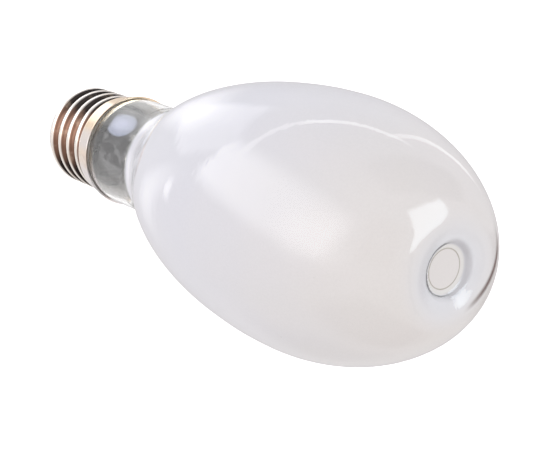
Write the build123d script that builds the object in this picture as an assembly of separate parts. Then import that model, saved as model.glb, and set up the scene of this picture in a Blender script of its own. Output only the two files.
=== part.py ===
"""Sealed elliptical discharge lamp with a large screw cap.

Millimetres.  The lamp stands upright: +Z runs from the cap to the crown, and the
origin is the centre of the cap's end contact.
"""

import os
from math import asin, atan, cos, radians, sin

from build123d import *

# Overall size
LENGTH = 226.0              # end contact to the crown's raised lip
BODY_R = 45.0               # widest radius of the glass
BELLY_Z = 165.0             # height of the widest section
FRONT_AXIS = 67.0           # half axis of the ellipse above the belly
BACK_AXIS = 98.5            # half axis of the ellipse below the belly
BACK_SPAN = 56.0            # degrees of the lower ellipse that are used
FRONT_SPAN = 57.0           # degrees of the upper ellipse that are used

# Glass envelope
GLASS = 1.2                 # wall thickness
NECK_R = 21.0
SEAL_R = 16.2               # neck end inside the cap
SEAL_Z = 24.0
SHOULDER_Z = (35.0, 48.0)   # where the neck widens above the seal
FLARE_Z = 66.0              # where the straight neck ends
LIP_R = 15.5                # raised ring around the crown dimple
FIT_GAP = 0.10              # air between a film and the glass behind it
COAT = 0.15                 # opal layer
COAT_Z = 71.5               # lower edge of the opal layer
FILM = 0.10                 # getter film
FILM_Z = (50.0, 70.5)

# Screw cap
PITCH = 6.35
CREST_R = 19.6
ROOT_R = 17.8
WALL = 0.5                  # shell sheet
SHELL_Z = 8.5               # lower edge of the shell
THREAD_Z = 10.0
SKIRT_Z = 36.0
RIM_Z = 45.0
SKIRT_R = 20.2
RIM_R = 21.7
INSULATOR_TOP = 14.0
CEMENT_TOP = 43.6           # just under the rim
CONTACT_R = 9.0
CONTACT_T = 1.0

# Stem
STEM_R = 6.5
STEM_WALL = 1.1
PRESS_Z = (60.0, 70.0)
PRESS_SIZE = (17.0, 5.0)
EXHAUST_R = 3.0
EXHAUST_BORE = 2.0
EXHAUST_TIP_Z = 20.0
LEAD_R = 0.8
LEAD_X = 4.2                # lead wires, either side of the axis
LEAD_TURN_Z = 19.5          # where the side lead turns out to the shell

# Arc tube
ARC_R = 4.0
ARC_BORE = 3.2
ARC_Z = (104.0, 190.0)
PLUG = 4.0
TUBE_R = 1.5
TUBE_BORE = 1.15
TUBE_OUT = 11.0             # niobium tube outside the plug
TUBE_IN = 1.0               # and inside it
ELECTRODE_R = 0.55
ELECTRODE = 8.0
COIL_R = 0.25

# Frame
ROD_R = 1.1
ROD_X = 15.0
LOOP_R = 11.6               # wire ring around the dimple's inner bump
LOOP_WIRE = 0.8
LOOP_Z = 222.4
BRACKET_Z = (95.5, 196.5)
BRACKET_H = 2.6
GETTER_Z = 60.0
GETTER_R = 4.0
GETTER_Y = 12.0
GETTER_WIRE = 0.4

os.makedirs("parts", exist_ok=True)


def save(name, shape):
    """Write one named piece."""
    export_step(shape, f"parts/{name}.step")


def group(*shapes):
    """Several separate solids that share one node."""
    return Compound(children=[s for shape in shapes for s in shape.solids()])


def turned(*points):
    """Solid turned about Z from a closed outline of (radius, height) corners."""
    outline = make_face(Polyline(*points, close=True))
    return revolve(Plane.XZ * outline, Axis.Z)


def rod(radius, z0, z1, x=0.0, y=0.0):
    """Upright round rod."""
    return Pos(x, y, z0) * Cylinder(radius, z1 - z0, align=(Align.CENTER, Align.CENTER, Align.MIN))


def pipe(radius, bore, z0, z1, x=0.0, y=0.0):
    """Upright round pipe."""
    return rod(radius, z0, z1, x, y) - rod(bore, z0 - 1, z1 + 1, x, y)


def wire(radius, bend, *points):
    """Round wire along a path of straight runs with rounded bends."""
    path = FilletPolyline(*points, radius=bend)
    section = Plane(origin=path @ 0, z_dir=path % 0) * Circle(radius)
    return sweep(section, path)


# ---------------------------------------------------------------- glass envelope


def ellipse_arc(body_r, half_axis, start, end):
    """Part of an ellipse centred on the belly, angles in degrees up from the belly."""
    steps = 6
    angles = [radians(start + (end - start) * i / steps) for i in range(steps + 1)]
    points = [(body_r * cos(a), BELLY_Z + half_axis * sin(a)) for a in angles]
    ends = [(-body_r * sin(a), half_axis * cos(a)) for a in (angles[0], angles[-1])]
    return Spline(*points, tangents=ends)


def envelope_curve(inset):
    """Half outline of the glass, moved inwards by inset, from neck end to crown."""
    seal_r = SEAL_R - inset
    neck_r = NECK_R - inset
    body_r = BODY_R - inset
    back = ellipse_arc(body_r, BACK_AXIS - inset, -BACK_SPAN, 0)
    front = ellipse_arc(body_r, FRONT_AXIS - inset, 0, FRONT_SPAN)
    seal = Line((seal_r, SEAL_Z), (seal_r, SHOULDER_Z[0]))
    shoulder = Spline(seal @ 1, (neck_r, SHOULDER_Z[1]), tangents=[(0, 1), (0, 1)])
    neck = Line(shoulder @ 1, (neck_r, FLARE_Z))
    flare = Spline(neck @ 1, back @ 0, tangents=[(0, 1), back % 0])
    # Crown: point on the outer face and its direction of travel towards the axis
    stations = [
        ((LIP_R, LENGTH), 180),
        ((11.3, LENGTH - 1.0), 205),
        ((8.5, LENGTH - 2.4), 250),
        ((6.6, LENGTH - 3.4), 180),
    ]
    points = [front @ 1]
    headings = [front % 1]
    for (r, z), angle in stations:
        a = radians(angle)
        points.append((r - inset * sin(a), z + inset * cos(a)))
        headings.append((cos(a), sin(a)))
    lip = Spline(*points, tangents=headings)
    floor = Line(lip @ 1, (0, (lip @ 1).Y))
    return [seal, shoulder, neck, flare, back, front, lip, floor]


def envelope_region(inset):
    """Everything inside the curve, as a face in the (radius, height) plane."""
    curve = envelope_curve(inset)
    top = curve[-1] @ 1
    start = curve[0] @ 0
    axis = Line(top, (0, SEAL_Z))
    base = Line((0, SEAL_Z), start)
    return make_face(Curve() + curve + [axis, base])


def half_plane(z0, z1):
    """Strip between two heights, right of the axis."""
    height = z1 - z0
    return Pos(0, z0) * Rectangle(2 * BODY_R, height, align=(Align.MIN, Align.MIN))


def turned_face(face):
    """Solid turned from a face of the (radius, height) plane."""
    return revolve(Plane.XZ * face, Axis.Z)


outer_region = envelope_region(0)
glass_region = outer_region - envelope_region(GLASS)
outer_bulb = turned_face(glass_region)

coat_outside = envelope_region(GLASS + FIT_GAP)
coat_inside = envelope_region(GLASS + FIT_GAP + COAT)
coat_strip = half_plane(COAT_Z, LENGTH)
inner_coating = turned_face((coat_outside - coat_inside) & coat_strip)

film_r = NECK_R - GLASS - FIT_GAP
getter_film = pipe(film_r, film_r - FILM, *FILM_Z)

# ---------------------------------------------------------------- screw cap


def thread_ridge(offset):
    """One helical ridge of the rounded thread, its faces moved inwards by offset."""
    depth = CREST_R - ROOT_R
    half = PITCH / 2
    turn = 2 * atan(depth / half)
    radius = half / (2 * sin(turn))
    crest_c = CREST_R - radius
    root_c = ROOT_R + radius
    bulge = radius - offset
    hollow = radius + offset
    foot = asin(0.2 / hollow)
    meet = (crest_c + bulge * cos(turn), bulge * sin(turn))
    low = (root_c - hollow * cos(foot), half - hollow * sin(foot))
    mid_a = (turn + foot) / 2
    mid = (root_c - hollow * cos(mid_a), half - hollow * sin(mid_a))
    inner = ROOT_R - offset - 0.6
    crest = ThreePointArc((meet[0], -meet[1]), (crest_c + bulge, 0), meet)
    upper = ThreePointArc(meet, mid, low)
    back = Polyline(low, (inner, low[1]), (inner, -low[1]), (low[0], -low[1]))
    lower = ThreePointArc((low[0], -low[1]), (mid[0], -mid[1]), (meet[0], -meet[1]))
    section = Plane.XZ * make_face(Curve() + [crest, upper, back, lower])
    path = Helix(PITCH, RIM_Z - SHELL_Z + PITCH, CREST_R)
    return Pos(0, 0, SHELL_Z - PITCH) * sweep(section, path, is_frenet=True)


def shell_core(offset):
    """Outside form of the shell without its thread ridge, moved inwards by offset."""
    core = ROOT_R + 0.05 - offset
    skirt = SKIRT_R - offset
    rim = RIM_R - offset
    low = SHELL_Z + offset
    bottom = Polyline((0, low), (core - 1.5, low), (core, low + 1.5), (core, SKIRT_Z - 1.5))
    shoulder = Spline((core, SKIRT_Z - 1.5), (skirt, SKIRT_Z + 1.0), tangents=[(0, 1), (0, 1)])
    side = Line((skirt, SKIRT_Z + 1.0), (skirt, RIM_Z - 3.0))
    flare = Spline(side @ 1, (rim, RIM_Z), tangents=[(0, 1), (0.7, 1)])
    close = Polyline((rim, RIM_Z), (0, RIM_Z), (0, low))
    return turned_face(make_face(Curve() + [bottom, shoulder, side, flare, close]))


def shell_body(offset):
    """Outside form of the shell, moved inwards by offset."""
    core = ROOT_R + 0.05 - offset
    crest = CREST_R - offset
    envelope = turned(
        (core - 3.0, THREAD_Z - 0.5),
        (core - 0.2, THREAD_Z - 0.5),
        (crest + 0.1, THREAD_Z + 3.0),
        (crest + 0.1, SKIRT_Z + 0.2),
        (core - 3.0, SKIRT_Z + 0.2),
    )
    return shell_core(offset) + (thread_ridge(offset) & envelope)


mouth = rod(RIM_R - WALL, RIM_Z - 0.3, RIM_Z + 1)
shell_hole = rod(ROOT_R - 3.0, 0, THREAD_Z + 1)
screw_shell = shell_body(0) - shell_body(WALL) - mouth - shell_hole

lead_hole = rod(LEAD_R + 0.9, -1, INSULATOR_TOP + 1)
cap_insulator = turned(
    (0, CONTACT_T),
    (CONTACT_R + 0.8, CONTACT_T),
    (ROOT_R - 3.2, SHELL_Z - 1.2),
    (ROOT_R - 3.2, SHELL_Z + WALL + 0.05),
    (ROOT_R - 2.2, SHELL_Z + WALL + 0.05),
    (ROOT_R - WALL - 0.15, THREAD_Z + 0.9),
    (ROOT_R - WALL - 0.15, INSULATOR_TOP),
    (0, INSULATOR_TOP),
) - lead_hole


def contact_outline():
    """Half outline of the end contact: flat face, rounded edge, recessed eyelet."""
    under = Polyline((LEAD_R + 0.1, CONTACT_T), (LEAD_R + 0.1, 0.5), (2.4, 0.35), (2.9, 0))
    face = Line((2.9, 0), (CONTACT_R - 1.0, 0))
    edge = ThreePointArc((CONTACT_R - 1.0, 0), (CONTACT_R - 0.25, 0.35), (CONTACT_R, CONTACT_T))
    top = Line((CONTACT_R, CONTACT_T), (LEAD_R + 0.1, CONTACT_T))
    return make_face(Curve() + [under, face, edge, top])


centre_contact = turned_face(contact_outline())

# Cement fills the space between shell and glass nearly to the rim
glass_form = turned_face(envelope_region(-FIT_GAP))
cement_room = rod(RIM_R, SEAL_Z + 1.0, CEMENT_TOP)
basing_cement = (shell_core(WALL + 0.05) & cement_room) - glass_form

# ---------------------------------------------------------------- stem and leads

centre_lead = wire(
    LEAD_R,
    1.5,
    (0, 0, 0.6),
    (0, 0, 14.8),
    (-LEAD_X, 0, 18.5),
    (-LEAD_X, 0, BRACKET_Z[0] + BRACKET_H + 1.0),
)
side_lead = wire(
    LEAD_R,
    2.5,
    (ROOT_R - WALL - 0.6, 0, LEAD_TURN_Z),
    (LEAD_X, 0, LEAD_TURN_Z),
    (LEAD_X, 0, 78.0),
)
leads = [centre_lead, side_lead]

solder_gap = LEAD_R + 0.1
contact_solder = turned(
    (0, 0.15),
    (1.6, 0.2),
    (2.3, 0.34),
    (solder_gap, 0.48),
    (0, 0.55),
)

weld_from = ROOT_R - WALL - 0.58
weld_blank = Pos(weld_from, 0, LEAD_TURN_Z) * Rot(0, 90, 0) * Cylinder(
    1.3, 1.6, align=(Align.CENTER, Align.CENTER, Align.MIN)
)
side_weld = (weld_blank - screw_shell).solids().sort_by(Axis.X)[0]


def stem_glass():
    """Flare, tube and flattened press in one piece of glass."""
    seal_r = SEAL_R - GLASS - FIT_GAP
    bore = STEM_R - STEM_WALL
    tube_z = 44.0
    loft_z = 48.0
    outside = Spline((seal_r, SEAL_Z + 1.2), (STEM_R, tube_z), tangents=[(-1, 0.1), (0, 1)])
    inside = Spline((seal_r, SEAL_Z), (bore, tube_z), tangents=[(-1, 0.1), (0, 1)])
    tube = Polyline((STEM_R, tube_z), (STEM_R, loft_z), (bore, loft_z), (bore, tube_z))
    rim = Line((seal_r, SEAL_Z), (seal_r, SEAL_Z + 1.2))
    flare = turned_face(make_face(Curve() + [outside, tube, inside, rim]))
    width, thick = PRESS_SIZE
    round_end = Pos(0, 0, loft_z) * Circle(STEM_R)
    flat_end = Pos(0, 0, PRESS_Z[0]) * RectangleRounded(width, thick, thick / 2 - 0.1)
    shoulder = loft([round_end, flat_end])
    press = extrude(flat_end, PRESS_Z[1] - PRESS_Z[0])
    upright = (Align.CENTER, Align.CENTER, Align.MIN)
    hollow = Pos(0, 0, loft_z) * Cone(bore, EXHAUST_R + 0.6, 4.0, align=upright)
    vent = rod(EXHAUST_BORE, loft_z + 3.0, loft_z + 6.0)
    outlet = Pos(0, 0, loft_z + 5.0) * Rot(90, 0, 0) * Cylinder(0.9, 20.0)
    return flare + shoulder + press - hollow - vent - outlet


stem = stem_glass()
for lead in leads:
    stem = stem - lead


def exhaust_outline():
    """Half outline of the pumping tube with its melted round tip."""
    top = 52.0
    centre = (0, EXHAUST_TIP_Z + EXHAUST_R)
    outer = CenterArc(centre, EXHAUST_R, 270, 90)
    up = Polyline(outer @ 1, (EXHAUST_R, top), (EXHAUST_BORE, top), (EXHAUST_BORE, centre[1]))
    inner = CenterArc(centre, EXHAUST_BORE, 270, 90)
    return make_face(Curve() + [outer, up, inner, Line(inner @ 0, outer @ 0)])


exhaust_tube = turned_face(exhaust_outline())

# ---------------------------------------------------------------- arc tube


def both_ends(make):
    """The same piece at the lower and, turned over, at the upper end of the arc tube."""
    middle = sum(ARC_Z) / 2
    lower = make()
    upper = Pos(0, 0, 2 * middle) * Rot(180, 0, 0) * lower
    return group(lower, upper)


def coil():
    """Tungsten winding near the tip of the lower electrode."""
    z0 = ARC_Z[0] + PLUG + TUBE_IN + 3.0
    path = Helix(2.6 * COIL_R, 3.6, ELECTRODE_R + COIL_R + FIT_GAP)
    section = Plane(origin=path @ 0, z_dir=path % 0) * Circle(COIL_R)
    return Pos(0, 0, z0) * sweep(section, path, is_frenet=True)


def feedthrough():
    """Niobium tube, closed at its inner end."""
    z0 = ARC_Z[0] - TUBE_OUT
    z1 = ARC_Z[0] + PLUG + TUBE_IN
    return rod(TUBE_R, z0, z1) - rod(TUBE_BORE, z0 - 1, z1 - 1.0)


tip_z = ARC_Z[0] + PLUG + TUBE_IN
arc_tube = pipe(ARC_R, ARC_BORE, *ARC_Z)
end_plugs = both_ends(lambda: pipe(ARC_BORE, TUBE_R, ARC_Z[0], ARC_Z[0] + PLUG))
seal_rings = both_ends(lambda: pipe(ARC_BORE + 0.3, TUBE_R, ARC_Z[0] - 0.7, ARC_Z[0]))
feedthroughs = both_ends(feedthrough)
electrodes = both_ends(lambda: rod(ELECTRODE_R, tip_z, tip_z + ELECTRODE))
electrode_coils = both_ends(coil)
bead_r = (ARC_BORE - TUBE_R) / 2 - 0.05
bead_z = ARC_Z[0] + PLUG + bead_r
amalgam_bead = Pos((ARC_BORE + TUBE_R) / 2, 0, bead_z) * Sphere(bead_r)

# ---------------------------------------------------------------- frame

frame_foot = LEAD_X + LEAD_R + ROD_R + FIT_GAP
frame_head = LOOP_R + LOOP_WIRE + ROD_R + FIT_GAP
frame_rod = wire(
    ROD_R,
    4.0,
    (frame_foot, 0, 72.0),
    (frame_foot, 0, 78.0),
    (ROD_X, 0, 91.0),
    (ROD_X, 0, 206.0),
    (frame_head, 0, 214.0),
    (frame_head, 0, LOOP_Z + 0.8),
)
crown_loop = Pos(0, 0, LOOP_Z) * Torus(LOOP_R, LOOP_WIRE)


def bracket(x_rod, r_rod, r_tube, z0):
    """Flat strap between an upright rod and the niobium tube, with a collar on each."""
    width = abs(x_rod)
    collars = rod(r_rod + 0.6, z0, z0 + BRACKET_H, x_rod) + rod(r_tube + 0.6, z0, z0 + BRACKET_H)
    web = Pos(x_rod / 2, 0, z0 + BRACKET_H / 2) * Box(width, 0.6, BRACKET_H)
    return collars + web - rod(r_rod, z0 - 1, z0 + 9, x_rod) - rod(r_tube, z0 - 1, z0 + 9)


lower_bracket = bracket(-LEAD_X, LEAD_R, TUBE_R, BRACKET_Z[0])
upper_bracket = bracket(ROD_X, ROD_R, TUBE_R + 0.2, BRACKET_Z[1])


def expansion_strap():
    """Springy ribbon from the upper bracket over to the end of the niobium tube."""
    start = BRACKET_Z[1] + BRACKET_H
    end = ARC_Z[1] + TUBE_OUT
    path = FilletPolyline((6.5, 0, start), (6.5, 0, end + 6), (0, 0, end + 6), (0, 0, end), radius=3.0)
    section = Plane(origin=path @ 0, z_dir=path % 0, x_dir=(1, 0, 0)) * Rectangle(0.2, 2.4)
    return sweep(section, path)


expansion_ribbon = expansion_strap()


def getter_ring():
    """Channel ring whose open side faces the neck wall."""
    cup = Torus(GETTER_R, 0.9) - Pos(0, 0, 0.3) * (rod(GETTER_R + 0.45, 0, 2) - rod(GETTER_R - 0.45, -1, 3))
    return Pos(0, GETTER_Y, GETTER_Z) * Rot(-90, 0, 0) * cup


def getter_wire():
    """Thin wire that carries a getter ring from the lead beside it."""
    y = LEAD_R + GETTER_WIRE + FIT_GAP
    top = GETTER_Z + GETTER_R + 0.9
    return wire(
        GETTER_WIRE,
        1.5,
        (LEAD_X, y, 72.5),
        (LEAD_X, y, 77.0),
        (0, GETTER_Y, 74.0),
        (0, GETTER_Y, top + FIT_GAP),
    )


def facing_pair(shape):
    """The piece and its twin on the other side of the axis."""
    return group(shape, Rot(0, 0, 180) * shape)


pieces = {
    "outer_bulb": outer_bulb,
    "inner_coating": inner_coating,
    "getter_film": getter_film,
    "screw_shell": screw_shell,
    "cap_insulator": cap_insulator,
    "centre_contact": centre_contact,
    "contact_solder": contact_solder,
    "side_weld": side_weld,
    "basing_cement": basing_cement,
    "stem": stem,
    "exhaust_tube": exhaust_tube,
    "centre_lead": centre_lead,
    "side_lead": side_lead,
    "arc_tube": arc_tube,
    "end_plugs": end_plugs,
    "seal_rings": seal_rings,
    "feedthroughs": feedthroughs,
    "electrodes": electrodes,
    "electrode_coils": electrode_coils,
    "amalgam_bead": amalgam_bead,
    "frame_rod": frame_rod,
    "crown_loop": crown_loop,
    "lower_bracket": lower_bracket,
    "upper_bracket": upper_bracket,
    "expansion_ribbon": expansion_ribbon,
    "getter_rings": facing_pair(getter_ring()),
    "getter_wires": facing_pair(getter_wire()),
}

for name, shape in pieces.items():
    save(name, shape)
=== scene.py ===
import math

import bmesh
import bpy
from mathutils import Matrix, Vector


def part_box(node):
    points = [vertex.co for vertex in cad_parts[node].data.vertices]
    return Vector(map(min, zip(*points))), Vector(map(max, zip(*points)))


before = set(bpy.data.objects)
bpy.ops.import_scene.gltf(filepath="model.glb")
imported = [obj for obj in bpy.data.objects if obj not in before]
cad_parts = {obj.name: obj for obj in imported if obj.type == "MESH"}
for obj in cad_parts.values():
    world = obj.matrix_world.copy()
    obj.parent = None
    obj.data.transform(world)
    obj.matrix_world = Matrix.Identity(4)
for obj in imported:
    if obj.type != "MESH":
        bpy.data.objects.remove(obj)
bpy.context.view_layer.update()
scene = bpy.context.scene

# ---------------------------------------------------------------- camera
CAMERA_AT = (0.01944, -0.33376, 0.53137)
CAMERA_FORWARD = (-0.02502, 0.64990, -0.75961)
CAMERA_UP = (-0.91791, -0.31592, -0.24005)
LENS = 97.48
SENSOR = 36.0

# ---------------------------------------------------------------- levels of the lamp, from its CAD boxes
coating_low, coating_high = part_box("inner_coating")
film_low, film_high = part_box("getter_film")
COATING_FOOT = coating_low.z
LAMP_TOP = coating_high.z
FILM_FOOT = film_low.z
FILM_TOP = film_high.z
CROWN_FLOOR = LAMP_TOP - 0.0045

# ---------------------------------------------------------------- sizes that the materials follow, in metres
THREAD_CREST = 0.0196
SKIRT_FOOT = 0.0362
DIMPLE_CORNER = 0.0065
DIMPLE_COLLAR = 0.0076
# Radius of the dimple's edge, where the painted dark outline lies
DIMPLE_EDGE = 0.0091
# Radius of the painted shade on the dimple's far side
DIMPLE_FAR_SHADE = 0.0092
# Offset circle of the painted dark crescent near the dimple's outer lip
CRESCENT_RADIUS = 0.0208
CRESCENT_OFFSET = (0.0047, 0.0035, 0.0)
# Middle of the painted reflection on the getter film
PAINTED_REFLECTION_AT = (-0.0066, -0.0193, 0.0585)

# ---------------------------------------------------------------- sides and constants
DIMPLE_NEAR_SIDE = (0.5, -0.87, 0.0)
# Side of the cap's thread that carries the painted warm reflection
WARM_REFLECTION_SIDE = (0.26, -0.966, 0.0)
GLASS_IOR = 1.5
GRAIN_RELIEF = 0.0003
WHITE = (1.0, 1.0, 1.0)
CLEAR = (*WHITE, 1.0)


# ---------------------------------------------------------------- node helpers
def node(tree, kind, inputs=None, **settings):
    """A new shader node. Inputs are values, or sockets to link from."""
    made = tree.nodes.new(kind)
    for name, value in settings.items():
        setattr(made, name, value)
    for key, value in (inputs or {}).items():
        if isinstance(value, bpy.types.NodeSocket):
            tree.links.new(value, made.inputs[key])
        else:
            made.inputs[key].default_value = value
    return made


def math_node(tree, operation, a, b=0.0):
    return node(tree, "ShaderNodeMath", {0: a, 1: b}, operation=operation).outputs[0]


def ramp(tree, value, low, high, to_low=0.0, to_high=1.0):
    """Smooth step of value from low..high to to_low..to_high."""
    made = node(
        tree,
        "ShaderNodeMapRange",
        {"Value": value, "From Min": low, "From Max": high, "To Min": to_low, "To Max": to_high},
        interpolation_type="SMOOTHSTEP",
    )
    return made.outputs[0]


def mix_colour(tree, factor, a, b, blend="MIX"):
    made = node(tree, "ShaderNodeMix", data_type="RGBA", blend_type=blend)
    for index, value in ((0, factor), (6, a), (7, b)):
        if isinstance(value, bpy.types.NodeSocket):
            tree.links.new(value, made.inputs[index])
        else:
            made.inputs[index].default_value = value if index == 0 else (*value, 1.0)
    return made.outputs[2]


def noise(tree, place, scale, detail=3.0, rough=0.55):
    made = node(
        tree,
        "ShaderNodeTexNoise",
        {"Vector": place, "Scale": scale, "Detail": detail, "Roughness": rough},
    )
    return made.outputs[0]


def start(name):
    """A new material with an output, and its object coordinates, which are the lamp's own metres."""
    material = bpy.data.materials.new(name)
    material.use_nodes = True
    tree = material.node_tree
    tree.nodes.clear()
    out = node(tree, "ShaderNodeOutputMaterial")
    place = node(tree, "ShaderNodeTexCoord").outputs["Object"]
    return material, tree, out, place


def mix_shader(tree, factor, first, second):
    inputs = {0: factor, 1: first.outputs[0], 2: second.outputs[0]}
    return node(tree, "ShaderNodeMixShader", inputs)


def show(tree, out, shader):
    tree.links.new(shader, out.inputs["Surface"])


def bump(tree, height, strength, distance):
    return node(
        tree,
        "ShaderNodeBump",
        {"Height": height, "Strength": strength, "Distance": distance},
    ).outputs[0]


def stretched(tree, place, scale):
    return node(tree, "ShaderNodeVectorMath", {0: place, 1: scale}, operation="MULTIPLY").outputs[0]


def coordinates(tree, place):
    """The x, y and z sockets of a place."""
    return node(tree, "ShaderNodeSeparateXYZ", {0: place}).outputs


def height_of(tree, place):
    return coordinates(tree, place)[2]


def length_of(tree, vector):
    return node(tree, "ShaderNodeVectorMath", {0: vector}, operation="LENGTH").outputs[1]


def radius_of(tree, place):
    """Distance from the lamp's axis."""
    return length_of(tree, stretched(tree, place, (1.0, 1.0, 0.0)))


def along(tree, vector, direction):
    """How far a vector goes in a fixed direction."""
    made = node(tree, "ShaderNodeVectorMath", {0: vector, 1: direction}, operation="DOT_PRODUCT")
    return made.outputs[1]


def product(tree, first, *others):
    for other in others:
        first = math_node(tree, "MULTIPLY", first, other)
    return first


# ---------------------------------------------------------------- materials
def worked(name, light, dark, metal, rough, grain, stretch=(1.0, 1.0, 1.0), lift=0.15):
    """A solid surface whose colour, gloss and relief vary with one grain. rough holds its two roughnesses."""
    material, tree, out, place = start(name)
    spread = stretched(tree, place, stretch)
    fine = noise(tree, spread, grain, 5.0)
    broad = noise(tree, place, grain / 9.0, 2.0)
    share = ramp(tree, math_node(tree, "ADD", fine, broad), 0.75, 1.25)
    shader = node(
        tree,
        "ShaderNodeBsdfPrincipled",
        {
            "Base Color": mix_colour(tree, share, dark, light),
            "Metallic": metal,
            "Roughness": ramp(tree, fine, 0.3, 0.7, rough[0], rough[1]),
            "Normal": bump(tree, fine, lift, GRAIN_RELIEF),
        },
    )
    show(tree, out, shader.outputs[0])
    return material


def clear_glass(name, tint, seed_scale, bonded_from=None):
    """Blown glass: it bends and mirrors what is seen, and lets lamplight through to what is behind it.
    Above bonded_from its inner face is wetted by powder, so nothing is mirrored there."""
    material, tree, out, place = start(name)
    cords = noise(tree, stretched(tree, place, (1.0, 1.0, 0.18)), seed_scale, 2.0)
    haze = noise(tree, place, seed_scale * 6.0, 4.0)
    stained = mix_colour(tree, ramp(tree, cords, 0.3, 0.7), tint, (0.99, 0.99, 0.993))
    glass = node(
        tree,
        "ShaderNodeBsdfPrincipled",
        {
            "Base Color": stained,
            "Roughness": ramp(tree, haze, 0.45, 0.8, 0.0, 0.03),
            "IOR": GLASS_IOR,
            "Transmission Weight": 1.0,
        },
    )
    path = node(tree, "ShaderNodeLightPath").outputs
    passing = math_node(tree, "MAXIMUM", path["Is Shadow Ray"], path["Is Diffuse Ray"])
    through = node(tree, "ShaderNodeBsdfTransparent", {"Color": (0.98, 0.98, 0.98, 1.0)})
    both = mix_shader(tree, passing, glass, through)
    if bonded_from is not None:
        inside = node(tree, "ShaderNodeNewGeometry").outputs["Backfacing"]
        level = ramp(tree, height_of(tree, place), bonded_from, bonded_from + 0.0004)
        wetted = node(tree, "ShaderNodeBsdfTransparent", {"Color": CLEAR})
        both = mix_shader(tree, product(tree, inside, level), both, wetted)
    show(tree, out, both.outputs[0])
    return material


def ring(tree, distance, middle, half):
    """1 where the distance is middle, falling to 0 where it is half more or less."""
    off = math_node(tree, "ABSOLUTE", math_node(tree, "SUBTRACT", distance, middle))
    return ramp(tree, off, 0.0, half, 1.0, 0.0)


def opal(name):
    """Electrostatic white powder: cool near the neck and warmer at the crown, with a thin grey line at its foot.
    Round the crown's dimple it has painted light: a painted cool reflection, a painted dark outline on the near side,
    painted shade on the far side and in the corner of the dimple's floor, and a painted dark crescent near the outer
    lip."""
    material, tree, out, place = start(name)
    z = height_of(tree, place)
    reach = radius_of(tree, place)
    drift = noise(tree, place, 22.0, 2.0)
    level = math_node(tree, "ADD", z, product(tree, drift, 0.05))
    cloud = mix_colour(
        tree,
        ramp(tree, level, COATING_FOOT + 0.09, LAMP_TOP + 0.03),
        (0.86, 0.86, 0.925),
        (0.935, 0.90, 0.885),
    )
    powder = noise(tree, place, 1500.0, 4.0)
    grained = mix_colour(tree, ramp(tree, powder, 0.2, 0.8), (0.965, 0.965, 0.965), WHITE)
    colour = mix_colour(tree, 1.0, cloud, grained, "MULTIPLY")
    speck = ramp(tree, noise(tree, place, 420.0, 1.0), 0.80, 0.86)
    foot = ramp(tree, z, COATING_FOOT + 0.0008, COATING_FOOT + 0.0016, 1.0, 0.0)

    at_crown = ramp(tree, z, CROWN_FLOOR - 0.004, CROWN_FLOOR)
    across = along(tree, place, DIMPLE_NEAR_SIDE)
    near_side = product(tree, ramp(tree, across, -0.005, 0.004), at_crown)
    far_side = product(tree, ramp(tree, across, -0.004, 0.002, 1.0, 0.0), at_crown)
    outward = ramp(tree, reach, 0.0078, 0.0090)
    # Painted reflection: a cool tint round the dimple
    cool = product(tree, ramp(tree, reach, 0.010, 0.021, 0.7, 0.0), outward, at_crown)
    # Painted shade: a soft darker ring on the dimple's far side
    painted_far_shade = product(tree, ring(tree, reach, DIMPLE_FAR_SHADE, 0.0018), far_side)
    collar = product(tree, ring(tree, reach, DIMPLE_COLLAR, 0.0012), at_crown)
    # Painted shade: a dark outline on the dimple's near side, where its rim hides the wall below
    edge = product(tree, ring(tree, reach, DIMPLE_EDGE, 0.00048), near_side)
    # Painted shade: a dark line in the corner of the dimple's floor
    painted_corner_shade = product(tree, ring(tree, reach, DIMPLE_CORNER, 0.00035), at_crown)
    # Painted shade: a dark crescent on an offset circle near the dimple's outer lip
    offset = node(tree, "ShaderNodeVectorMath", {0: place, 1: CRESCENT_OFFSET}, operation="ADD").outputs[0]
    crescent_side = ramp(tree, coordinates(tree, place)[1], 0.0118, 0.0170)
    painted_crescent = product(tree, ring(tree, radius_of(tree, offset), CRESCENT_RADIUS, 0.0014), crescent_side, at_crown)
    for share, tone in (
        (speck, (0.55, 0.54, 0.53)),
        (foot, (0.55, 0.56, 0.58)),
        (cool, (0.885, 0.905, 0.965)),
        (painted_far_shade, (0.70, 0.70, 0.74)),
        (collar, (0.93, 0.92, 0.90)),
        (edge, (0.16, 0.16, 0.17)),
        (painted_corner_shade, (0.50, 0.46, 0.40)),
        (painted_crescent, (0.23, 0.165, 0.155)),
    ):
        colour = mix_colour(tree, share, colour, tone)
    shader = node(
        tree,
        "ShaderNodeBsdfPrincipled",
        {
            "Base Color": colour,
            "Roughness": ramp(tree, powder, 0.3, 0.7, 0.5, 0.62),
            "Specular IOR Level": 0.1,
            "Normal": bump(tree, powder, 0.1, 0.0001),
        },
    )
    show(tree, out, shader.outputs[0])
    return material


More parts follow.
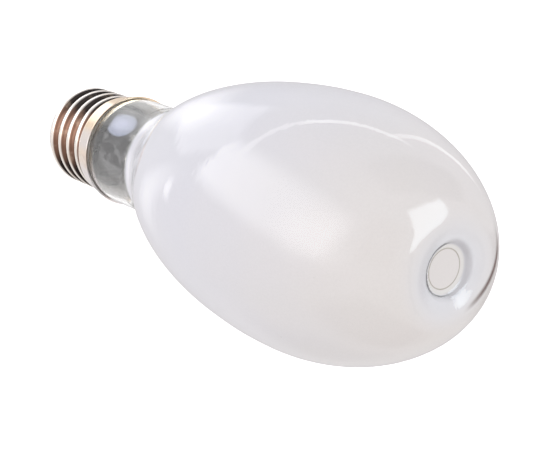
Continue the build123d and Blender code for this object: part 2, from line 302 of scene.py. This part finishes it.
def mirror_film(name):
    """Evaporated getter metal: a streaky dark patch on each side of the neck, the far one thinner, with one painted
    reflection: a pale lavender oval with a dark border. It thins to nothing at its edges."""
    material, tree, out, place = start(name)
    part = coordinates(tree, place)
    wander = noise(tree, stretched(tree, place, (1.0, 1.0, 0.5)), 90.0, 4.0)
    shift = product(tree, math_node(tree, "SUBTRACT", wander, 0.5), 0.007)
    z = math_node(tree, "ADD", part[2], shift)
    up = ramp(tree, z, FILM_FOOT, FILM_FOOT + 0.003)
    down = ramp(tree, z, FILM_TOP - 0.003, FILM_TOP, 1.0, 0.0)
    height = product(tree, up, down)
    facing = math_node(tree, "ABSOLUTE", math_node(tree, "ADD", part[1], shift))
    front = ramp(tree, part[1], -0.004, 0.004, 1.0, 0.15)
    side = product(tree, front, ramp(tree, facing, 0.0148, 0.0182, 0.02, 1.0))
    streak = noise(tree, stretched(tree, place, (1.0, 1.0, 0.6)), 170.0, 5.0)
    smoke = mix_colour(tree, ramp(tree, streak, 0.44, 0.60), (0.002, 0.002, 0.003), (0.12, 0.12, 0.122))

    # The painted reflection is an oval, taller than it is wide, with a dark border
    from_reflection = node(tree, "ShaderNodeVectorMath", {0: place, 1: PAINTED_REFLECTION_AT}, operation="SUBTRACT").outputs[0]
    spot = length_of(tree, stretched(tree, from_reflection, (1.0, 1.0, 0.56)))
    rim = ramp(tree, spot, 0.0052, 0.0078, 1.0, 0.0)
    reflection_border = ramp(tree, spot, 0.0053, 0.0066, 1.0, 0.0)
    smoke = mix_colour(tree, reflection_border, smoke, (0.010, 0.010, 0.012))
    painted_reflection = mix_colour(tree, ramp(tree, spot, 0.001, 0.005), (0.37, 0.39, 0.50), (0.24, 0.26, 0.34))
    smoke = mix_colour(tree, ramp(tree, spot, 0.0044, 0.0056, 1.0, 0.0), smoke, painted_reflection)
    dense = math_node(tree, "MAXIMUM", product(tree, height, side), product(tree, rim, height))
    metal = node(
        tree,
        "ShaderNodeBsdfPrincipled",
        {
            "Base Color": smoke,
            "Metallic": 1.0,
            "Roughness": ramp(tree, streak, 0.3, 0.7, 0.08, 0.22),
        },
    )
    bare = node(tree, "ShaderNodeBsdfTransparent", {"Color": CLEAR})
    show(tree, out, mix_shader(tree, dense, bare, metal).outputs[0])
    return material


def plated_screw(name):
    """Nickel over brass: polished where a socket rubs the crests, tarnished and darkened with painted shade in the
    roots, and with a painted warm reflection in the roots on one side.
    """
    material, tree, out, place = start(name)
    reach = radius_of(tree, place)
    stain = noise(tree, place, 160.0, 4.0)
    scratch = noise(tree, stretched(tree, place, (1.0, 1.0, 14.0)), 420.0, 3.0)
    worn = ramp(tree, reach, THREAD_CREST - 0.00052, THREAD_CREST - 0.00002)
    # Painted reflection: a warm copper tone in the thread roots on one side
    painted_warm_reflection = ramp(tree, along(tree, place, WARM_REFLECTION_SIDE), 0.0138, 0.0175)
    # Roots: tarnish darkened to near black by painted shade, turning to the painted warm reflection on one side
    tarnish_and_painted_light = mix_colour(tree, painted_warm_reflection, (0.030, 0.023, 0.021), (0.17, 0.095, 0.068))
    thread = mix_colour(tree, worn, tarnish_and_painted_light, (0.92, 0.86, 0.80))
    drawn = noise(tree, stretched(tree, place, (1.0, 1.0, 0.12)), 75.0, 2.0)
    skirt = mix_colour(tree, ramp(tree, drawn, 0.40, 0.70), (0.93, 0.75, 0.56), (0.80, 0.76, 0.76))
    above = ramp(tree, height_of(tree, place), SKIRT_FOOT - 0.0005, SKIRT_FOOT + 0.0005)
    base = mix_colour(tree, above, thread, skirt)
    smooth = ramp(tree, worn, 0.0, 1.0, 0.34, 0.14)
    shader = node(
        tree,
        "ShaderNodeBsdfPrincipled",
        {
            "Base Color": mix_colour(tree, ramp(tree, stain, 0.5, 0.75, 0.0, 0.4), base, (0.62, 0.47, 0.36)),
            "Metallic": 1.0,
            "Roughness": product(tree, smooth, ramp(tree, stain, 0.3, 0.7, 0.8, 1.3)),
            "Normal": bump(tree, scratch, 0.08, 0.0001),
        },
    )
    show(tree, out, shader.outputs[0])
    return material


looks = {
    "bulb_glass": clear_glass("bulb_glass", (0.975, 0.985, 0.975), 35.0, COATING_FOOT),
    "stem_glass": clear_glass("stem_glass", (0.90, 0.95, 0.93), 120.0),
    "opal": opal("opal_powder"),
    "film": mirror_film("getter_mirror_film"),
    "screw": plated_screw("plated_screw"),
}
METAL = 1.0
MATT = 0.0
CROSS_BRUSHED = (1.0, 8.0, 1.0)
DRAWN = (1.0, 1.0, 0.1)
ROLLED = (1.0, 1.0, 0.15)
PLAIN_LOOKS = (
    # look, material, light colour, dark colour, metal or matt, roughness, grain, then any stretch
    ("vitrite", "black_insulator_glass", (0.05, 0.05, 0.055), (0.015, 0.015, 0.02), MATT, (0.08, 0.25), 300.0),
    ("brass", "contact_brass_disc", (0.80, 0.62, 0.34), (0.62, 0.45, 0.22), METAL, (0.2, 0.42), 900.0, CROSS_BRUSHED),
    ("solder", "soft_solder", (0.70, 0.70, 0.72), (0.42, 0.42, 0.44), METAL, (0.25, 0.5), 500.0),
    ("nickel", "drawn_nickel", (0.74, 0.72, 0.68), (0.52, 0.50, 0.47), METAL, (0.2, 0.38), 900.0, DRAWN),
    ("alumina", "sintered_alumina", (0.95, 0.94, 0.91), (0.86, 0.85, 0.81), MATT, (0.32, 0.5), 600.0),
    ("frit", "seal_frit_ring", (0.78, 0.75, 0.69), (0.62, 0.58, 0.52), MATT, (0.5, 0.7), 900.0),
    ("niobium", "drawn_niobium", (0.60, 0.60, 0.62), (0.42, 0.42, 0.45), METAL, (0.25, 0.42), 900.0, DRAWN),
    ("tungsten", "coated_tungsten", (0.38, 0.38, 0.39), (0.20, 0.20, 0.21), METAL, (0.4, 0.6), 1200.0),
    ("amalgam", "sodium_amalgam", (0.80, 0.80, 0.82), (0.60, 0.60, 0.63), METAL, (0.04, 0.12), 500.0),
    ("steel", "plated_frame_steel", (0.70, 0.69, 0.66), (0.50, 0.49, 0.47), METAL, (0.22, 0.4), 800.0, ROLLED),
    ("getter", "heat_tinted_steel", (0.52, 0.47, 0.42), (0.28, 0.29, 0.36), METAL, (0.25, 0.5), 500.0),
)
for look, *row in PLAIN_LOOKS:
    looks[look] = worked(*row)
looks["cement"] = worked(
    "basing_cement_baked", (0.88, 0.85, 0.79), (0.74, 0.70, 0.62), MATT, (0.8, 0.95), 700.0, lift=0.5
)
worn_by = {
    "outer_bulb": "bulb_glass",
    "stem": "stem_glass",
    "exhaust_tube": "stem_glass",
    "inner_coating": "opal",
    "getter_film": "film",
    "screw_shell": "screw",
    "cap_insulator": "vitrite",
    "centre_contact": "brass",
    "contact_solder": "solder",
    "side_weld": "solder",
    "basing_cement": "cement",
    "centre_lead": "nickel",
    "side_lead": "nickel",
    "arc_tube": "alumina",
    "end_plugs": "alumina",
    "seal_rings": "frit",
    "feedthroughs": "niobium",
    "electrodes": "tungsten",
    "electrode_coils": "tungsten",
    "amalgam_bead": "amalgam",
    "frame_rod": "steel",
    "crown_loop": "steel",
    "lower_bracket": "steel",
    "upper_bracket": "steel",
    "expansion_ribbon": "steel",
    "getter_rings": "getter",
    "getter_wires": "getter",
}
for name, look in worn_by.items():
    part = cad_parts[name]
    for held in part.material_slots:
        held.material = looks[look]


# ---------------------------------------------------------------- floor
FLOOR_LEVEL = -0.0003
FLOOR_GLOW = 0.75


def make_floor(half_width):
    """A plain white floor that the camera sees, and that neither lights the lamp nor is mirrored in it."""
    mesh = bpy.data.meshes.new("floor")
    made = bmesh.new()
    corners = [(-1, -1), (1, -1), (1, 1), (-1, 1)]
    made.faces.new([made.verts.new((x * half_width, y * half_width, FLOOR_LEVEL)) for x, y in corners])
    made.to_mesh(mesh)
    made.free()
    floor = bpy.data.objects.new("floor", mesh)
    scene.collection.objects.link(floor)
    material, tree, out, place = start("white_floor")
    mottle = ramp(tree, noise(tree, place, 4.0, 2.0), 0.3, 0.7)
    paint = mix_colour(tree, mottle, (0.86, 0.86, 0.87), (0.90, 0.90, 0.90))
    matt = node(tree, "ShaderNodeBsdfDiffuse", {"Color": paint})
    glow = node(tree, "ShaderNodeEmission", {"Color": CLEAR, "Strength": FLOOR_GLOW})
    both = node(tree, "ShaderNodeAddShader", {0: matt.outputs[0], 1: glow.outputs[0]})
    show(tree, out, both.outputs[0])
    mesh.materials.append(material)
    floor.visible_glossy = False
    floor.visible_diffuse = False
    floor.visible_shadow = False


make_floor(6.0)


# ---------------------------------------------------------------- studio light
LAMP_MIDDLE = Vector((0.0, 0.0, 0.15))
PANEL_REACH = 3.0


def toward(azimuth, elevation):
    a, e = math.radians(azimuth), math.radians(elevation)
    return Vector((math.cos(a) * math.cos(e), math.sin(a) * math.cos(e), math.sin(e)))


def axes_at(azimuth, elevation, turn):
    """Direction of a panel seen from the lamp, and the panel's own width and height directions."""
    ahead = toward(azimuth, elevation)
    side = Vector((-math.sin(math.radians(azimuth)), math.cos(math.radians(azimuth)), 0.0))
    over = ahead.cross(side)
    t = math.radians(turn)
    return ahead, math.cos(t) * side + math.sin(t) * over, math.cos(t) * over - math.sin(t) * side


def panel(name, middle, across, ahead, half_width, half_height, soft, tone, radiance):
    """A panel light that shows only as a reflection. Its halves are in metres, and soft, a share of each half, is
    how far its edges fade either way."""
    data = bpy.data.lights.new(name, "AREA")
    data.shape = "RECTANGLE"
    data.size = 2 * half_width * (1 + soft[0])
    data.size_y = 2 * half_height * (1 + soft[1])
    data.energy = 4 * radiance * data.size * data.size_y
    data.use_nodes = True
    tree = data.node_tree
    tree.nodes.clear()
    out = node(tree, "ShaderNodeOutputLight")
    spot = node(tree, "ShaderNodeNewGeometry").outputs["Parametric"]
    part = node(tree, "ShaderNodeSeparateXYZ", {0: spot}).outputs
    mask = 1.0
    for axis in (0, 1):
        off = math_node(tree, "ABSOLUTE", math_node(tree, "SUBTRACT", part[axis], 0.5))
        inside = ramp(tree, off, 0.5 * (1 - soft[axis]) / (1 + soft[axis]), 0.5, 1.0, 0.0)
        mask = math_node(tree, "MULTIPLY", mask, inside)
    glow = node(tree, "ShaderNodeEmission", {"Color": (*tone, 1.0), "Strength": mask})
    show(tree, out, glow.outputs[0])
    light = bpy.data.objects.new(name, data)
    scene.collection.objects.link(light)
    turned = Matrix((across, ahead.cross(across), ahead)).transposed().to_4x4()
    light.matrix_world = Matrix.Translation(middle) @ turned
    light.visible_camera = False
    light.visible_diffuse = False
    light.visible_transmission = False


def softbox(name, azimuth, elevation, width, height, turn, soft, tone, radiance):
    """A far panel seen from the lamp in one direction. Width and height are half angles in degrees."""
    ahead, across, _ = axes_at(azimuth, elevation, turn)
    half_width = PANEL_REACH * math.tan(math.radians(width))
    half_height = PANEL_REACH * math.tan(math.radians(height))
    middle = LAMP_MIDDLE + ahead * PANEL_REACH
    panel(name, middle, across, ahead, half_width, half_height, (soft, soft), tone, radiance)


SOFTBOXES = (
    # name, azimuth, elevation, half width, half height, turn, softness, colour, radiance
    ("key_softbox", -178, 58.5, 20.5, 24, 26, 0.14, (0.84, 0.95, 1.0), 3.3),
    ("crown_softbox", -70, 2, 17, 17, 0, 0.60, WHITE, 0.6),
    ("neck_softbox", -148, -65, 15, 11, 0, 0.20, (0.98, 0.98, 1.0), 0.6),
    ("low_softbox", -55, -71, 4.0, 1.3, 0, 0.95, WHITE, 1.5),
    ("upper_glow", 172, -70, 12, 6, 0, 0.9, WHITE, 0.9),
    ("left_glow", -25, -79, 13, 4, 0, 0.9, WHITE, 0.6),
)
for row in SOFTBOXES:
    softbox(*row)

# The strip stands close to the lamp, beside the bulb and clear of the neck
STRIP_AT = Vector((-0.005, -0.200, 0.050))
STRIP_HALF = (0.074, 0.205)
STRIP_SOFT = (0.50, 0.12)
strip_ahead, strip_across, _ = axes_at(-90, 0, -15)
panel("strip_softbox", STRIP_AT, strip_across, strip_ahead, *STRIP_HALF, STRIP_SOFT, WHITE, 1.6)

TUBE_HALF = 1.5
TUBE_SOFT = 0.35
TUBES = (
    # name, from azimuth and elevation, to azimuth and elevation, radiance
    ("left_tube", (-122, -50), (-165, -33), 1.0),
    ("upper_tube", (-160, -36), (172, -12), 1.6),
    ("crown_tube", (176, -15), (127, -18), 1.0),
)


def tube(name, first, last, radiance):
    """A thin panel light whose ends are seen in the two directions."""
    start_way, end_way = toward(*first), toward(*last)
    middle = (start_way + end_way).normalized()
    azimuth = math.degrees(math.atan2(middle.y, middle.x))
    elevation = math.degrees(math.asin(middle.z))
    _, side, over = axes_at(azimuth, elevation, 0)
    run = end_way - start_way
    turn = math.degrees(math.atan2(run.dot(over), run.dot(side)))
    half = math.degrees(start_way.angle(end_way)) / 2
    softbox(name, azimuth, elevation, half, TUBE_HALF, turn, TUBE_SOFT, WHITE, radiance)


for row in TUBES:
    tube(*row)

SHADES = (
    # azimuth, elevation, half width, half height, turn, softness, colour, share
    (97, 4, 13, 26, 0, 0.45, (0.16, 0.12, 0.12), 0.9),
    (66, 68, 5, 22, 0, 0.5, (0.35, 0.35, 0.36), 0.7),
    (95, -42, 15, 15, 0, 0.5, (0.72, 0.67, 0.67), 1.0),
    (-178, 12, 34, 14, 0, 0.35, (0.10, 0.10, 0.10), 0.65),
    (-88, 42, 24, 15, 0, 0.4, (0.40, 0.26, 0.19), 0.45),
    (15, 12, 36, 18, 0, 0.4, (0.16, 0.11, 0.09), 0.55),
    (102, -45, 31, 33, 0, 0.7, (0.66, 0.64, 0.65), 0.85),
    (33, -26, 18, 13, 0, 0.7, (0.45, 0.43, 0.42), 0.5),
)


def shade(tree, way, colour, azimuth, elevation, width, height, turn, soft, tone, share):
    """A soft dark patch of the studio's walls, in half angles, put over the colour so far."""
    ahead, across, upward = axes_at(azimuth, elevation, turn)
    depth = along(tree, way, ahead)
    mask = ramp(tree, depth, 0.02, 0.1)
    for axis, half in ((across, width), (upward, height)):
        off = along(tree, way, axis)
        slope = math_node(tree, "ABSOLUTE", math_node(tree, "DIVIDE", off, depth))
        edge = math.tan(math.radians(half))
        inside = ramp(tree, slope, edge * (1 - soft), edge * (1 + soft), 1.0, 0.0)
        mask = product(tree, mask, inside)
    return mix_colour(tree, product(tree, mask, share), colour, tone)


COOL_SIDE = (-161, 0)


def make_world():
    """White to the camera. What lights the lamp and is mirrored in it is a soft grey room, cooler on one side."""
    world = bpy.data.worlds.new("studio")
    scene.world = world
    world.use_nodes = True
    tree = world.node_tree
    tree.nodes.clear()
    out = node(tree, "ShaderNodeOutputWorld")
    way = node(tree, "ShaderNodeTexCoord").outputs["Generated"]
    lean = along(tree, way, toward(*COOL_SIDE))
    colour = mix_colour(tree, ramp(tree, lean, -1.0, 1.0), (0.91, 0.89, 0.88), (0.93, 0.93, 0.955))
    for row in SHADES:
        colour = shade(tree, way, colour, *row)
    studio = node(tree, "ShaderNodeBackground", {"Color": colour, "Strength": 1.0})
    paper = node(tree, "ShaderNodeBackground", {"Color": CLEAR, "Strength": 1.0})
    seen = node(tree, "ShaderNodeLightPath").outputs["Is Camera Ray"]
    show(tree, out, mix_shader(tree, seen, studio, paper).outputs[0])


make_world()


# ---------------------------------------------------------------- camera and view
def make_camera():
    data = bpy.data.cameras.new("camera")
    data.lens = LENS
    data.sensor_width = SENSOR
    data.clip_start = 0.01
    data.clip_end = 50.0
    camera = bpy.data.objects.new("camera", data)
    scene.collection.objects.link(camera)
    back = -Vector(CAMERA_FORWARD).normalized()
    right = Vector(CAMERA_UP).cross(back).normalized()
    up = back.cross(right)
    turned = Matrix((right, up, back)).transposed().to_4x4()
    camera.matrix_world = Matrix.Translation(CAMERA_AT) @ turned
    scene.camera = camera


make_camera()
scene.view_settings.view_transform = "Standard"
